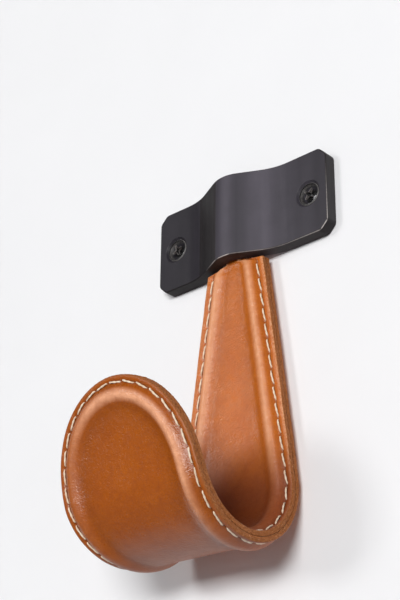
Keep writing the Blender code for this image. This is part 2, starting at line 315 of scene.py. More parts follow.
def leather_material(name, seed, light, mid, dark, rubbed_and_highlight, fibre):
    """Tanned leather: pores, wrinkles, mottled dye, painted shade in the seam's groove, in the valley inside
    the ridge and in the bend, ridges worn pale with a painted highlight, and a frayed rim.
    """
    g = Graph(name)
    across = g.attribute("across")
    depth = g.map(across, 0.0, RAMP_MM)
    along = g.add("ShaderNodeCombineXYZ")
    g.link(g.attribute("along"), along.inputs[0])
    g.link(across, along.inputs[1])
    along.inputs[2].default_value = seed
    strip = along.outputs[0]
    broad = g.noise(0.05, 3.0, 0.6, distortion=0.6)
    mottle = g.noise(0.45, 5.0, 0.6)
    fine = g.noise(2.2, 4.0, 0.6)
    tone = g.mix(g.ramp(broad, [(0.3, 0.0), (0.7, 1.0)]), mid, light)
    tone = g.mix(g.times(g.ramp(mottle, [(0.42, 0.0), (0.75, 1.0)]), 0.4), tone, dark)
    tone = g.mix(g.times(g.ramp(fine, [(0.46, 0.0), (0.72, 1.0)]), 0.35), tone, dark)
    # the ridge's crest is made pale: partly worn leather, partly painted highlight
    crest = g.ramp(depth, [(0.2, 0.0), (0.27, 0.6), (0.32, 1.0), (0.37, 0.8), (0.45, 0.0)])
    crest = g.times(crest, g.attribute("rub_and_highlight"))
    tone = g.mix(g.times(crest, g.map(mottle, 0.3, 0.7, 0.95, 0.55)), tone, rubbed_and_highlight)
    # painted shade along the seam's groove and in the valley inside the ridge; the tone is also a little
    # lower at the very edge
    shade = [(0.0, 0.9), (0.03, 1.0), (0.1, 0.93), (0.125, 0.5), (0.15, 0.8), (0.2, 1.0)]
    shade += [(0.42, 1.0), (0.53, 0.82), (0.66, 0.9), (0.9, 1.0)]
    groove = g.ramp(depth, shade)
    tone = g.mix(1.0, tone, groove, "MULTIPLY")
    fray = g.noise(1.7, 5.0, 0.7)
    near_rim = g.ramp(depth, [(0.0, 1.0), (0.025, 0.7), (0.06, 0.0)])
    frayed = g.times(near_rim, g.ramp(fray, [(0.4, 0.0), (0.58, 0.85)]))
    tone = g.mix(frayed, tone, fibre)
    # painted shade: darker inside the bend, behind the paddle and, less, on the back
    tone = g.mix(g.attribute("painted_shade"), tone, PAINTED_SHADE_TINT, "MULTIPLY")
    wrinkle = g.noise(1.0, 3.0, 0.6, (0.75, 0.16, 1.0), strip, 0.5)
    ridge = g.ramp(depth, [(0.0, 0.4), (0.13, 0.4), (0.24, 1.0), (0.38, 0.8), (0.5, 0.2), (0.62, 0.0)])
    pores = g.cells(2.4, "F1")
    pebble = g.cells(1.2, "SMOOTH_F1", randomness=0.9)
    normal = g.bump(pores, 0.08, 0.8)
    normal = g.bump(pebble, 0.09, 0.6, normal)
    normal = g.bump(g.times(wrinkle, ridge), 0.16, 0.7, normal)
    normal = g.bump(g.noise(0.22, 3.0, 0.5), 0.3, 0.3, normal)
    gloss = g.map(mottle, 0.3, 0.75, 0.25, 0.33)
    gloss = g.math("ADD", gloss, g.times(g.attribute("painted_shade"), 0.3))
    gloss = g.math("ADD", gloss, g.times(frayed, 0.4))
    mat = g.finish(Base_Color=tone, Roughness=gloss, Normal=normal)
    g.shader.inputs["Specular IOR Level"].default_value = 0.45
    return mat


def edge_material(name, seed):
    """The cut edge: raw fibres from dark brown to pale, with dark specks."""
    g = Graph(name)
    strip = g.add("ShaderNodeCombineXYZ")
    g.link(g.attribute("along"), strip.inputs[0])
    g.link(g.attribute("level"), strip.inputs[1])
    strip.inputs[2].default_value = seed
    fibres = g.noise(1.0, 6.0, 0.7, (1.1, 4.5, 1.0), strip.outputs[0], 0.8)
    specks = g.noise(2.6, 3.0, 0.7)
    patches = g.noise(0.25, 4.0, 0.6)
    tans = [(0.28, (0.07, 0.018, 0.006)), (0.44, (0.31, 0.095, 0.025))]
    tans += [(0.58, (0.5, 0.18, 0.055)), (0.7, (0.9, 0.56, 0.32))]
    tone = g.ramp(fibres, tans)
    tone = g.mix(g.ramp(specks, [(0.56, 0.0), (0.66, 1.0)]), tone, (0.06, 0.018, 0.006))
    tone = g.mix(g.times(g.ramp(patches, [(0.4, 0.0), (0.7, 1.0)]), 0.5), tone, (0.33, 0.1, 0.02))
    normal = g.bump(fibres, 0.35, 0.9)
    normal = g.bump(specks, 0.2, 0.7, normal)
    g.shader.inputs["Specular IOR Level"].default_value = 0.15
    return g.finish(Base_Color=tone, Roughness=g.map(fibres, 0.2, 0.8, 0.95, 0.75), Normal=normal)


def thread_material(name):
    """Waxed thread: off-white, a little soiled and fibrous."""
    g = Graph(name)
    soil = g.noise(0.5, 3.0, 0.6)
    fibre = g.noise(6.0, 3.0, 0.6)
    tone = g.mix(g.ramp(soil, [(0.35, 0.0), (0.75, 1.0)]), (0.84, 0.72, 0.56), (0.66, 0.46, 0.3))
    tone = g.mix(g.ramp(fibre, [(0.45, 0.0), (0.8, 0.35)]), tone, (0.45, 0.3, 0.2))
    normal = g.bump(fibre, 0.05, 0.6)
    mat = g.finish(Base_Color=tone, Roughness=g.map(fibre, 0.3, 0.7, 0.55, 0.75), Normal=normal)
    g.shader.inputs["Sheen Weight"].default_value = 0.25
    return mat


# colour of worn steel, which on the bracket's front rim is partly a painted highlight
WORN_AND_HIGHLIGHT_STEEL = (0.5, 0.46, 0.44)


def black_steel(name, base, streaks, roughness, specular):
    """Blackened steel: a waxed oxide coat, worn bright where an attribute says; on the bracket's front rim
    that brightness is partly painted highlight.

    With streaks it is drawn bar, and an attribute multiplies a painted sheen and shade into its colour along
    the bar.
    """
    g = Graph(name)
    if streaks:
        drawn = g.noise(1.2, 5.0, 0.6, (1.0, 1.0, 0.03))
        broad = g.noise(0.14, 3.0, 0.5, (1.0, 1.0, 0.1))
    else:
        drawn = g.noise(1.5, 5.0, 0.65)
        broad = g.noise(0.4, 3.0, 0.5)
    cloud = g.noise(0.14, 4.0, 0.6)
    grit = g.noise(5.0, 3.0, 0.6)
    darkest, darker, lighter = (tuple(share * c for c in base) for share in (0.7, 0.85, 1.2))
    tone = g.mix(g.ramp(broad, [(0.3, 0.0), (0.7, 1.0)]), darker, lighter)
    tone = g.mix(g.times(g.ramp(cloud, [(0.42, 0.0), (0.7, 1.0)]), 0.3), tone, darkest)
    uneven = g.map(g.noise(1.3, 4.0, 0.7), 0.3, 0.7, 0.75, 1.2)
    # worn metal, and on the bracket's front rim a painted highlight
    scuffs_and_highlight = g.ramp(g.times(g.attribute("wear_and_highlight"), uneven), [(0.15, 0.0), (0.8, 1.0)])
    # painted sheen and shade along the bar
    if streaks:
        tone = g.mix(1.0, tone, g.attribute("painted_sheen_and_shade"), "MULTIPLY")
    tone = g.mix(scuffs_and_highlight, tone, WORN_AND_HIGHLIGHT_STEEL)
    gloss = g.map(drawn, 0.3, 0.7, roughness - 0.04, roughness + 0.06)
    normal = g.bump(drawn, 0.012, 0.3)
    normal = g.bump(grit, 0.015, 0.3, normal)
    normal = g.bump(g.noise(0.12, 2.0, 0.5), 0.1, 0.35, normal)
    mat = g.finish(Base_Color=tone, Roughness=gloss, Normal=normal)
    g.shader.inputs["Specular IOR Level"].default_value = specular
    return mat


def bare_steel(name):
    """Drawn steel without a finish."""
    g = Graph(name)
    drawn = g.noise(1.0, 5.0, 0.6, (1.0, 1.0, 0.08))
    tone = g.mix(g.ramp(drawn, [(0.35, 0.0), (0.7, 1.0)]), (0.33, 0.33, 0.34), (0.46, 0.45, 0.44))
    normal = g.bump(drawn, 0.02, 0.5)
    mat = g.finish(Base_Color=tone, Roughness=g.map(drawn, 0.3, 0.7, 0.38, 0.52), Normal=normal)
    g.shader.inputs["Metallic"].default_value = 1.0
    return mat


# ---- bracket

BEND_STEPS = 18
CORNER_STEPS = 6
EDGE_STEPS = 6
BACK_EDGE_STEPS = 3
HOLE_AROUND = 56
HOLE_LIP = 0.18
BACK_LINE_STEPS = 400
BACK_LINE_PAST = 2.0
# the hump's left slope is where a face's normal has an x below this; its front gets the rim's duller finish,
# darker as painted shade
MATT_SHADED_SLOPE = -0.3


def hump_segments():
    """Half of the bar's middle line from the hump's centre outwards: (length, curvature) pieces."""
    rise_in_bends = (HUMP_R_FLANGE + HUMP_R_CROWN) * (1 - math.cos(HUMP_ANGLE))
    slope_l = (HUMP_RISE - rise_in_bends) / math.sin(HUMP_ANGLE)
    return (
        (HUMP_CROWN_HALF, 0.0),
        (HUMP_R_CROWN * HUMP_ANGLE, 1.0 / HUMP_R_CROWN),
        (slope_l, 0.0),
        (HUMP_R_FLANGE * HUMP_ANGLE, -1.0 / HUMP_R_FLANGE),
    )


def middle_line(u):
    """Distance out from the hump's centre, fall from its crown and slope angle at developed length u."""
    along, fall, angle = 0.0, 0.0, 0.0
    left = abs(u)
    for length, curvature in hump_segments():
        step = min(left, length)
        if curvature:
            turned = angle + curvature * step
            along += (math.sin(turned) - math.sin(angle)) / curvature
            fall += (math.cos(angle) - math.cos(turned)) / curvature
            angle = turned
        else:
            along += step * math.cos(angle)
            fall += step * math.sin(angle)
        left -= step
        if left <= 0:
            return along, fall, angle
    return along + left, fall, angle


def bar_point(u, z, n):
    """A point of the bar at developed length u, height z and depth n in front of its back face."""
    along, fall, angle = middle_line(u)
    side = 1.0 if u >= 0 else -1.0
    out = n - BAR_T / 2
    x = HUMP_X + side * (along + out * math.sin(angle))
    y = -(BAR_T / 2 + HUMP_RISE - fall + out * math.cos(angle))
    return (x, y, z)


def developed(x):
    """The developed length at which the flat flange reaches x."""
    total = sum(length for length, _ in hump_segments())
    along = middle_line(total)[0]
    distance = abs(x - HUMP_X)
    return math.copysign(total + distance - along, x)


def bend_stations():
    """Developed lengths across the hump at which the bar's mesh has an edge."""
    stations = [0.0]
    at = 0.0
    for length, curvature in hump_segments():
        steps = BEND_STEPS if curvature else 1
        for i in range(1, steps + 1):
            stations.append(at + length * i / steps)
        at += length
    stations.append(at + FLAT_FROM)
    return sorted({round(side * s, 6) for s in stations for side in (-1, 1)})


def corner_points(inset):
    """A corner cut off at 45 degrees and softened at both ends, as (back from the end, in from the side)."""
    cut = CORNER_CUT - inset * math.tan(math.radians(22.5))
    slope = math.sqrt(0.5)
    curves = []
    turns = (
        ((0.0, cut), (0.0, 1.0), (slope, -slope)),
        ((cut, 0.0), (-slope, slope), (1.0, 0.0)),
    )
    for corner, away, toward in turns:
        a = [corner[k] + CORNER_SOFT * away[k] for k in (0, 1)]
        c = [corner[k] + CORNER_SOFT * toward[k] for k in (0, 1)]
        for i in range(CORNER_STEPS + 1):
            t = i / CORNER_STEPS
            curve = tuple((1 - t) ** 2 * a[k] + 2 * t * (1 - t) * corner[k] + t * t * c[k] for k in (0, 1))
            curves.append(curve)
    return [(back + inset, up + inset) for back, up in curves]


def bar_outline(inset):
    """The bar's outline in (developed length, z), with points at every bend station on both long sides."""
    left, right = developed(-BAR_L / 2), developed(BAR_L / 2)
    top = BAR_H / 2
    corner = corner_points(inset)
    points = [(s, -top + inset) for s in bend_stations()]
    points += [(right - back, -top + up) for back, up in reversed(corner)]
    points += [(right - back, top - up) for back, up in corner]
    points += [(s, top - inset) for s in reversed(bend_stations())]
    points += [(left + back, top - up) for back, up in reversed(corner)]
    points += [(left + back, -top + up) for back, up in corner]
    return points


def back_line():
    """Distance out, distance off the wall and slope of the bar's back face, station by station."""
    lines = []
    total = sum(length for length, _ in hump_segments())
    for i in range(BACK_LINE_STEPS + 1):
        u = (total + BACK_LINE_PAST) * i / BACK_LINE_STEPS
        x, y, _ = bar_point(u, 0.0, 0.0)
        lines.append((x - HUMP_X, -y, middle_line(u)[2]))
    return lines


BACK_LINE = back_line()


def circle(centre, r, count):
    """A ring of points round (centre, 0)."""
    turns = [2 * math.pi * i / count for i in range(count)]
    return [(centre + r * math.cos(a), r * math.sin(a)) for a in turns]


def fill_face(bm, loops, known, n):
    """Triangulate the space between the outline and the holes, with an edge across at every bend station.

    The front of the hump's left slope gets the rim's finish: duller, and darker as painted shade.
    """
    points = [p for loop in loops for p in loop]
    edges = []
    first = 0
    for loop in loops:
        count = len(loop)
        edges += [(first + i, first + (i + 1) % count) for i in range(count)]
        first += count
    stations = bend_stations()
    outline = loops[0]
    for i, s in enumerate(stations):
        j = next(k for k in range(len(outline)) if outline[k][1] > 0 and abs(outline[k][0] - s) < 1e-9)
        edges.append((i, j))
    result = delaunay_2d_cdt([Vector(p) for p in points], edges, [], 0, 1e-6)
    coords, faces, origins = result[0], result[2], result[3]
    verts = []
    for co, origin in zip(coords, origins):
        verts.append(known[origin[0]] if origin else bm.verts.new(bar_point(co[0], co[1], n)))
    centres = [(sum(p[0] for p in h) / len(h), sum(p[1] for p in h) / len(h)) for h in loops[1:]]
    radii = [math.dist(h[0], c) for h, c in zip(loops[1:], centres)]
    for face in faces:
        middle = [sum(coords[i][k] for i in face) / len(face) for k in (0, 1)]
        if any(math.dist(middle, c) < r * 0.995 for c, r in zip(centres, radii)):
            continue
        made = bm.faces.new([verts[i] for i in face])
        made.normal_update()
        made.material_index = 1 if made.normal.x < MATT_SHADED_SLOPE and n > BAR_T / 2 else 0


def depth_of(co):
    """How far a point of the bar is in front of the bar's back face."""
    out = abs(co.x - HUMP_X)
    best = min(BACK_LINE, key=lambda line: abs(line[0] - out))
    return (-co.y - best[1]) * math.cos(best[2])


# painted sheen and shade along the bar, multiplied into the steel's colour: dark on both slopes of the hump,
# lightest on its crown and at the foot of its right slope
PAINTED_SHEEN_AND_SHADE = ((-38.0, 1.4), (-24.0, 1.15), (-17.0, 1.4), (-9.0, 0.3), (-5.5, 2.1), (-1.6, 3.7))
PAINTED_SHEEN_AND_SHADE += ((3.0, 2.6), (7.0, 0.9), (12.0, 4.0), (18.0, 2.6), (38.0, 1.8))


def edge_layers():
    """The outline's rings as (inset, n), round the back edge and then round the front edge."""
    layers = []
    for i in range(BACK_EDGE_STEPS + 1):
        a = math.radians(90 * i / BACK_EDGE_STEPS)
        layers.append((BACK_EDGE_R * (1 - math.sin(a)), BACK_EDGE_R * (1 - math.cos(a))))
    for i in range(EDGE_STEPS + 1):
        a = math.radians(90 * i / EDGE_STEPS)
        layers.append((BAR_EDGE_R * (1 - math.cos(a)), BAR_T - BAR_EDGE_R * (1 - math.sin(a))))
    return layers


def hole_levels():
    """A countersunk hole's rings as (radius, n) from the back to the front, with softened lips."""
    lip = HOLE_LIP
    return (
        (BORE_R + lip, 0.0),
        (BORE_R + 0.3 * lip, 0.3 * lip),
        (BORE_R, lip),
        (BORE_R, BAR_T - (SINK_R - BORE_R)),
        (SINK_R - lip, BAR_T - lip),
        (SINK_R - 0.6 * lip, BAR_T - 0.45 * lip),
        (SINK_R - 0.1 * lip, BAR_T - 0.08 * lip),
        (SINK_R + 0.5 * lip, BAR_T),
    )


def bracket_wear_and_highlight(co):
    """Rubbed metal and painted highlight on the front rim: most along the bottom, at the lower right corner
    and on the crown.
    """
    end_x, end_z = BAR_L / 2 - abs(co.x), BAR_H / 2 - abs(co.z)
    cut = (end_x + end_z - CORNER_CUT) * math.sqrt(0.5)
    rim = 1.0 - blend_step(0.1, 0.42, min(end_x, end_z, cut))
    front = blend_step(BAR_T - 0.42, BAR_T - 0.12, depth_of(co))
    low = (1.0 if co.z < 0 else 0.3) * (0.2 + 0.8 * blend_step(-13.0, -6.0, co.x))
    corner = math.exp(-((co.x - BAR_L / 2) ** 2 + (co.z + BAR_H / 2) ** 2) / 20.0)
    crown = math.exp(-(((co.x - HUMP_X) / 4.0) ** 2))
    patchy = 0.9 + 0.3 * rough(co.x, co.y, co.z, 0.3)
    return rim * front * low * patchy * (0.45 + 0.55 * corner + 0.5 * crown)


def make_bracket():
    """The bent bar with its two countersunk holes."""
    bm = bmesh.new()
    layers = edge_layers()
    rings = [[bm.verts.new(bar_point(u, z, n)) for u, z in bar_outline(inset)] for inset, n in layers]
    for a, b in zip(rings, rings[1:]):
        bridge(bm, a, b)
    # the edge faces get the rim's finish: duller, and darker as painted shade
    for face in bm.faces:
        face.material_index = 1
    levels = hole_levels()
    back, front = [], []
    for side in (-1, 1):
        centre = developed(side * HOLE_SPACING / 2)
        circles = [circle(centre, r, HOLE_AROUND) for r, _ in levels]
        loops = []
        for points, (_, n) in zip(circles, levels):
            loops.append([bm.verts.new(bar_point(u, z, n)) for u, z in points])
        for a, b in zip(loops, loops[1:]):
            bridge(bm, a, b)
        back.append((circles[0], loops[0]))
        front.append((circles[-1], loops[-1]))
    for ring, (inset, n), holes in ((rings[0], layers[0], back), (rings[-1], layers[-1], front)):
        flat = [bar_outline(inset)] + [h[0] for h in holes]
        fill_face(bm, flat, ring + [v for h in holes for v in h[1]], n)
    mats = [
        black_steel("blackened_bracket", (0.0195, 0.0175, 0.0215), True, 0.35, 0.27),
        # the rim's copy of the finish: rougher, less shiny, and darker as painted shade
        black_steel("blackened_shaded_rim", (0.0145, 0.0125, 0.0133), True, 0.5, 0.12),
    ]
    obj = add_object("bracket_plate", bm, mats, 24)
    # worn metal and painted highlight along the front rim
    set_attribute(obj.data, "wear_and_highlight", bracket_wear_and_highlight)
    # painted sheen and shade along the bar
    set_attribute(obj.data, "painted_sheen_and_shade", lambda co: smooth_table(PAINTED_SHEEN_AND_SHADE, co.x))
    weight_normals(obj)
    stand_for(obj, "bracket_steel", "mounting_bracket")


# ---- screws

SCREW_AROUND = 48
STEPS_PER_TURN = 12
POINT_L = 5.0
ROOT_R = SHANK_R * 0.82
# the recess's rings as (depth, taper)
RECESS_LEVELS = ((0.0, 1.04), (0.05, 1.0), (0.25, 0.97), (RECESS_DEPTH * 0.55, 0.72), (RECESS_DEPTH, 0.38))


def cross_outline(taper, turn):
    """A cross-head recess with rounded ends and filleted inner corners, as a ring of (a, b) points."""
    half = RECESS_WIDTH / 2
    ring = []
    for k in range(4):
        a = math.pi / 2 * k + turn
        axis = (math.cos(a), math.sin(a))
        across = (-axis[1], axis[0])
        reach = RECESS_R * taper
        arm = half * (0.55 + 0.35 * taper)
        flank = [(half * 1.35, half * 1.05), (reach * 0.7, arm * 0.9)]
        flank += [(reach * 0.94, arm * 0.72), (reach, arm * 0.3)]
        for p, q in [(p, -q) for p, q in flank] + flank[::-1]:
            ring.append((axis[0] * p + across[0] * q, axis[1] * p + across[1] * q))
    return ring


def screw_rows():
    """The screw's rings of (radius, y), from the head's softened rim to the point; the thread is a helix."""
    count = SCREW_AROUND
    top = HEAD_TOP_Y
    cone_end = top + 0.25 + (HEAD_R - SHANK_R)
    profile = (
        (HEAD_R - 0.42, top),
        (HEAD_R - 0.24, top + 0.03),
        (HEAD_R - 0.1, top + 0.1),
        (HEAD_R - 0.02, top + 0.2),
        (HEAD_R, top + 0.3),
        (SHANK_R + 0.25, cone_end - 0.1),
        (SHANK_R, cone_end + 0.5),
        (SHANK_R, THREAD_FROM_Y),
    )
    rows = [[(r, y)] * count for r, y in profile]
    steps = int((SCREW_END_Y - THREAD_FROM_Y) / THREAD_PITCH * STEPS_PER_TURN)
    for k in range(1, steps):
        y = THREAD_FROM_Y + THREAD_PITCH * k / STEPS_PER_TURN
        point_in = min(1.0, (SCREW_END_Y - y) / POINT_L)
        row = []
        for i in range(count):
            phase = (k / STEPS_PER_TURN - i / count) % 1.0
            crest = max(0.0, 1 - abs(phase - 0.5) * 3.6) ** 1.2
            r = ROOT_R + (THREAD_R - ROOT_R) * crest * min(1.0, k / STEPS_PER_TURN)
            row.append((max(0.12, r * point_in), y))
        rows.append(row)
    rows.append([(0.05, SCREW_END_Y)] * count)
    return rows


def make_screw(name, x, node, turn):
    """A countersunk wood screw with a cross recess, turned by an angle."""
    bm = bmesh.new()
    count = SCREW_AROUND
    top = HEAD_TOP_Y
    rows = screw_rows()
    rings = []
    for row in rows:
        ring = []
        for i, (r, y) in enumerate(row):
            a = 2 * math.pi * i / count
            ring.append(bm.verts.new((x + r * math.cos(a), y, r * math.sin(a))))
        rings.append(ring)
    for a, b in zip(rings, rings[1:]):
        bridge(bm, a, b)
    bm.faces.new(rings[-1])
    crosses = []
    for depth, taper in RECESS_LEVELS:
        crosses.append([bm.verts.new((x + a, top + depth, b)) for a, b in cross_outline(taper, turn)])
    for a, b in zip(crosses, crosses[1:]):
        bridge(bm, a, b)
    tip = bm.verts.new((x, top + RECESS_DEPTH + 0.25, 0.0))
    last = crosses[-1]
    for i in range(len(last)):
        bm.faces.new((last[i], last[(i + 1) % len(last)], tip))
    outer = circle(0.0, rows[0][0][0], count)
    inner = cross_outline(RECESS_LEVELS[0][1], turn)
    points = outer + inner
    edges = [(i, (i + 1) % count) for i in range(count)]
    edges += [(count + i, count + (i + 1) % len(inner)) for i in range(len(inner))]
    faces = delaunay_2d_cdt([Vector(p) for p in points], edges, [], 3, 1e-6)[2]
    verts = rings[0] + crosses[0]
    for face in faces:
        if all(i >= count for i in face) and inside(points, face, inner):
            continue
        bm.faces.new([verts[i] for i in face])
    obj = add_object(name, bm, [black_steel(name + "_black", (0.018, 0.017, 0.018), False, 0.36, 0.45)], 32)

    def wear_at(co):
        """Worn metal at the recess's lip, on the head's rim and on the thread's crests."""
        a, b = co.x - x, co.z
        r = math.hypot(a, b)
        near_top = blend_step(top + 0.7, top + 0.1, co.y)
        cross = blend_step(2.7, 1.9, r) * near_top * blend_step(top - 0.01, top + 0.04, co.y)
        rim = blend_step(HEAD_R - 0.3, HEAD_R - 0.05, r) * near_top
        return 0.75 * cross + 0.4 * rim + (0.35 if co.y > THREAD_FROM_Y and r > THREAD_R - 0.15 else 0.0)

    set_attribute(obj.data, "wear_and_highlight", wear_at)
    weight_normals(obj)
    stand_for(obj, "screw_steel", node)


def inside(points, face, ring):
    """Whether the face's middle lies in the ring."""
    px = sum(points[i][0] for i in face) / len(face)
    py = sum(points[i][1] for i in face) / len(face)
    odd = False
    for (x0, y0), (x1, y1) in zip(ring, ring[1:] + ring[:1]):
        if (y0 > py) != (y1 > py) and px < x0 + (py - y0) * (x1 - x0) / (y1 - y0):
            odd = not odd
    return odd


# ---- hook

SMALL_P = 1e-4
SEAM_STEPS = 4000


def hook_point(x, s, n):
    """A place x, s of the flat pattern bent into the J, with n out of it: towards the wall at the top."""
    past = max(0.0, s - STRAIGHT_L)
    formed = min(1.0, past / (BEND_END_S - STRAIGHT_L))
    n += formed * (TWIST * x + DISH * (x / half_width(s)) ** 2)
    x += STRAP_X + SWAY * past + SWAY_BACK * past**2
    if s <= STRAIGHT_L:
        y, z, a = MID_Y, HOOK_TOP_Z - s, 0.0
    else:
        a = min((s - STRAIGHT_L) / BEND_R, BEND_ANGLE)
        y = MID_Y - BEND_R * (1 - math.cos(a))
        z = BEND_START_Z - BEND_R * math.sin(a)
        rest = max(0.0, s - BEND_END_S)
        y -= rest * math.sin(a)
        z -= rest * math.cos(a)
    return (x, y + n * math.cos(a), z - n * math.sin(a))


def half_width(s):
    """Half the hook's width at s, without the tip's rounding."""
    q = min(1.0, max(0.0, s / HOOK_L))
    return HALF_W_TOP + HALF_W_GROWTH * (1 - (1 - q) ** HALF_W_POWER)


def edge_at(p):
    """The sewn edge's right half: p is 0 at the shoulder, 1 where the tip starts and 2 at the tip's end."""
    if p <= 1:
        s = SHOULDER_S + (TIP_START_S - SHOULDER_S) * p
        return half_width(s), s
    a = math.radians(90 * (p - 1))
    s = TIP_START_S + TIP_L * math.sin(a)
    return half_width(s) * math.cos(a), s


def edge_inset(p, d):
    """The point a distance d in from the edge, square to it, in the flat pattern."""
    if p >= 2:
        return 0.0, edge_at(2.0)[1] - d
    x0, s0 = edge_at(max(0.0, p - SMALL_P))
    x1, s1 = edge_at(min(2.0, p + SMALL_P))
    tx, ts = x1 - x0, s1 - s0
    length = math.hypot(tx, ts)
    x, s = edge_at(p)
    return x - d * ts / length, s + d * tx / length


def centre_s(p, s):
    """Where the mesh column that starts at the edge's p and s meets the middle line."""
    if p <= 1:
        return s
    return TIP_START_S + TIP_CORE_L * math.sin(math.radians(90 * (p - 1)))


def stitch_inset(p):
    """How far in from the edge the seam lies: it runs nearer to the edge on the paddle."""
    start, end = INSET_NARROWS_S
    share = min(1.0, max(0.0, (edge_at(p)[1] - start) / (end - start)))
    return STITCH_INSET + (STITCH_INSET_PADDLE - STITCH_INSET) * share


def seam_table():
    """Pairs of (length along the seam, p), from the shoulder to the tip."""
    table = []
    length = 0.0
    before = None
    for i in range(SEAM_STEPS + 1):
        p = 2.0 * i / SEAM_STEPS
        x, s = edge_inset(p, stitch_inset(p))
        if before:
            length += math.hypot(x - before[0], s - before[1])
        before = (x, s)
        table.append((length, p))
    return table


SEAM = seam_table()
SEAM_L = SEAM[-1][0]


def p_at(length):
    """The edge's p at a length along the seam."""
    lo, hi = 0, len(SEAM) - 1
    while hi - lo > 1:
        mid = (lo + hi) // 2
        if SEAM[mid][0] <= length:
            lo = mid
        else:
            hi = mid
    (l0, p0), (l1, p1) = SEAM[lo], SEAM[hi]
    return p0 + (p1 - p0) * min(1.0, max(0.0, (length - l0) / (l1 - l0)))


STITCH_FROM = STITCH_START_S - SHOULDER_S
STITCHES = round((SEAM_L - STITCH_FROM) / STITCH_PITCH)
PITCH = (SEAM_L - STITCH_FROM) / STITCHES
STATIONS_PER_STITCH = 13

# the face's height over the flat margin, by distance in from the edge
FACE_RISE = ((0.0, -0.34), (0.1, -0.16), (0.28, -0.04), (0.6, 0.03), (1.2, 0.06), (1.8, -0.02), (2.2, -0.16))
FACE_RISE += ((2.5, -0.2), (2.8, -0.13), (3.3, 0.13), (3.9, 0.62), (4.5, 1.15), (5.1, 1.48), (5.8, 1.66))
FACE_RISE += ((6.5, 1.7), (7.1, 1.64), (7.8, 1.42), (8.6, 1.06), (9.4, 0.72), (10.3, 0.44), (11.4, 0.25))
GROOVE_AT, RIDGE_AT, RIM_AT = 2.5, 6.4, 11.4
RIDGE_INSET = 5.9
# half the space between the layers, by distance in from the edge
INNER_SPACE = ((3.8, 0.125), (4.4, 1.0), (5.1, 1.65), (5.9, 1.8), (6.7, 1.65), (7.4, 1.0), (8.5, 0.5))
# a column's points in the leather's mesh: over the face, the middle, the cut edge and the hidden side
FACE_ROWS = (0.1, 0.28, 0.6, 1.0, 1.4, 1.8, 2.1, 2.3, 2.5, 2.7, 2.9, 3.2, 3.6, 4.0, 4.5, 5.0, 5.5, 6.0, 6.4)
FACE_ROWS += (6.8, 7.3, 7.8, 8.3, 8.8, 9.3, 9.9, 10.6, 11.4)
CENTRE_ROWS = (0.12, 0.26, 0.42, 0.6, 0.8, 1.0)
WALL_ROWS = (-0.05, 0.02, 0.14, 0.3, 0.46, 0.62, 0.76)
HIDDEN_ROWS = (0.15, 2.0, 3.8, 4.4, 5.1, 5.9, 6.7, 7.4, 8.5)
# the stitches' marks: needle holes, the channel the thread lies in and the leather puffed up beside it
NEEDLE_DIP = 0.36
CHANNEL_DIP = 0.06
PUFF = 0.05
# how rough the cut edge is
COARSE_FRAY = 0.14
FINE_FRAY = 0.12
EDGE_WAVE = 0.12
EDGE_BULGE = 0.1
MIDDLE_STEPS = (1.0, 0.5)
MIDDLE_ACROSS = 15.0
# the tongue's rows as (s, how far it has widened to the hook's shoulder)
TONGUE_ROWS = ((TONGUE_TOP_S, 0.0), (-14.0, 0.0), (-3.0, 0.0), (-0.6, 0.0), (0.15, 0.12), (0.55, 0.62))
# half the space between the layers in the tongue, by distance from its middle
TONGUE_SPACE = ((2.6, 1.1), (3.0, 0.9), (3.8, 0.5), (4.2, 0.3), (4.55, 0.125))
# the ranges of s, or of x, over which the looks change: see rub_and_highlight_at, for the ridge's worn pale
# tone and painted highlight, and painted_shade_at, for the painted shade
INNER_RUB_HIGHLIGHT_FADES_S = (62.0, 92.0)
OUTER_RUB_HIGHLIGHT_GROWS_S = (122.0, 152.0)
OUTER_RUB_HIGHLIGHT_GROWS_X = (-26.0, -2.0)
INNER_PAINTED_SHADE_S = (66.0, 88.0)
OUTER_PAINTED_SHADE_S = (134.0, 116.0)


def inset_of(across, p):
    """Distance in from the edge of a place on the face's profile, with the groove where the seam is."""
    seam = stitch_inset(p)
    if across <= GROOVE_AT:
        return across * seam / GROOVE_AT
    if across <= RIDGE_AT:
        return seam + (across - GROOVE_AT) * (RIDGE_INSET - seam) / (RIDGE_AT - GROOVE_AT)
    return across - RIDGE_AT + RIDGE_INSET


def centre_rise(s):
    """The middle's height over the margin: fuller over the frame's tang at the top."""
    return 0.32 + 0.3 * blend_step(22.0, 8.0, s)


def centre_space(s):
    """Half the space between the layers at the middle: wider over the frame's tang."""
    return 0.5 + 0.6 * blend_step(18.0, 15.0, s)


def uneven(x, s, side):
    """The leather's own slow waves and small lumps."""
    return 0.07 * rough(x + 40 * side, s, 3.0, 0.16) + 0.02 * rough(x, s, side * 9.0, 0.9)


def face_height(d, l, s, x, side):
    """Height of the leather's face over the margin at a distance d in and l along the seam."""
    rise = smooth_table(FACE_RISE, d)
    top = blend_step(3.6, 0.6, s)
    rise = rise * (1 - 0.35 * top) if d > 3 else rise
    if d > RIDGE_AT:
        rise = max(rise, centre_rise(s) * blend_step(RIDGE_AT, RIM_AT, d))
    at = (l - STITCH_FROM) / PITCH
    if at > -0.5:
        off = (at - round(at)) * PITCH
        hole = math.exp(-(off * off + (d - GROOVE_AT) ** 2) / 0.13)
        channel = math.exp(-((d - GROOVE_AT) / 0.6) ** 2)
        rise -= NEEDLE_DIP * hole + CHANNEL_DIP * channel
        puff = math.exp(-((d - 1.2) / 0.7) ** 2) + 0.8 * math.exp(-((d - 3.7) / 0.7) ** 2)
        rise += PUFF * puff * math.cos(2 * math.pi * (at - 0.5))
    return rise + uneven(x, s, side)


